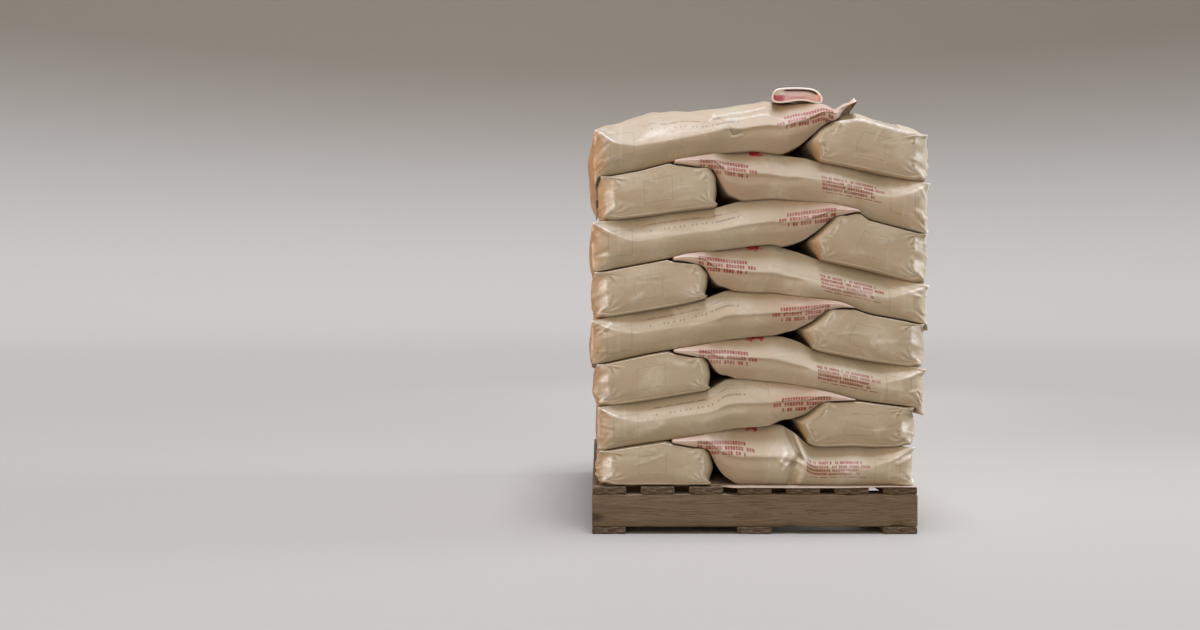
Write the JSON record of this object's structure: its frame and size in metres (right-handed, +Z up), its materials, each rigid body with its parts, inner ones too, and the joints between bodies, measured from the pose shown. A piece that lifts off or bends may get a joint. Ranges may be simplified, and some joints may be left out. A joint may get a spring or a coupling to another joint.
{
  "type": "pallet of sacks",
  "caption": "Loaded two-way wooden pallet: filled kraft paper sacks stacked in interlocked layers, with a slip sheet on the deck.",
  "frame": {"origin": "on the floor under the middle of the pallet, on the underside of its middle bottom board", "axes": "+Z up, +X along the pallet's 1000 mm side, +Y along its 1200 mm side, away from the side that the picture shows"},
  "size_m": [1.065, 1.2, 1.329],
  "materials": {
    "sack_paper": "matt natural kraft paper, creased, with short faded print",
    "sheet_paper": "plain thin paperboard",
    "pallet_wood": "rough-sawn softwood, weathered grey-brown"
  },
  "bodies": {
    "root": {"bottom_board_left": "pallet_wood", "bottom_board_middle": "pallet_wood", "bottom_board_right": "pallet_wood", "deck_board_1": "pallet_wood", "deck_board_2": "pallet_wood", "deck_board_3": "pallet_wood", "deck_board_4": "pallet_wood", "deck_board_5": "pallet_wood", "deck_board_6": "pallet_wood", "deck_board_7": "pallet_wood", "sack_1_cross_front": "sack_paper", "sack_1_cross_rear": "sack_paper", "sack_1_long_front": "sack_paper", "sack_1_long_middle": "sack_paper", "sack_1_long_rear": "sack_paper", "sack_2_cross_front": "sack_paper", "sack_2_cross_rear": "sack_paper", "sack_2_long_front": "sack_paper", "sack_2_long_middle": "sack_paper", "sack_2_long_rear": "sack_paper", "sack_3_cross_front": "sack_paper", "sack_3_cross_rear": "sack_paper", "sack_3_long_front": "sack_paper", "sack_3_long_middle": "sack_paper", "sack_3_long_rear": "sack_paper", "sack_4_cross_front": "sack_paper", "sack_4_cross_rear": "sack_paper", "sack_4_long_front": "sack_paper", "sack_4_long_middle": "sack_paper", "sack_4_long_rear": "sack_paper", "sack_5_cross_front": "sack_paper", "sack_5_cross_rear": "sack_paper", "sack_5_long_front": "sack_paper", "sack_5_long_middle": "sack_paper", "sack_5_long_rear": "sack_paper", "sack_6_cross_front": "sack_paper", "sack_6_cross_rear": "sack_paper", "sack_6_long_front": "sack_paper", "sack_6_long_middle": "sack_paper", "sack_6_long_rear": "sack_paper", "sack_7_cross_front": "sack_paper", "sack_7_cross_rear": "sack_paper", "sack_7_long_front": "sack_paper", "sack_7_long_middle": "sack_paper", "sack_7_long_rear": "sack_paper", "sack_8_cross_front": "sack_paper", "sack_8_cross_rear": "sack_paper", "sack_8_long_front": "sack_paper", "sack_8_long_middle": "sack_paper", "sack_8_long_rear": "sack_paper", "slip_sheet": "sheet_paper", "stringer_front": "pallet_wood", "stringer_middle": "pallet_wood", "stringer_rear": "pallet_wood"}
  },
  "joints": []
}
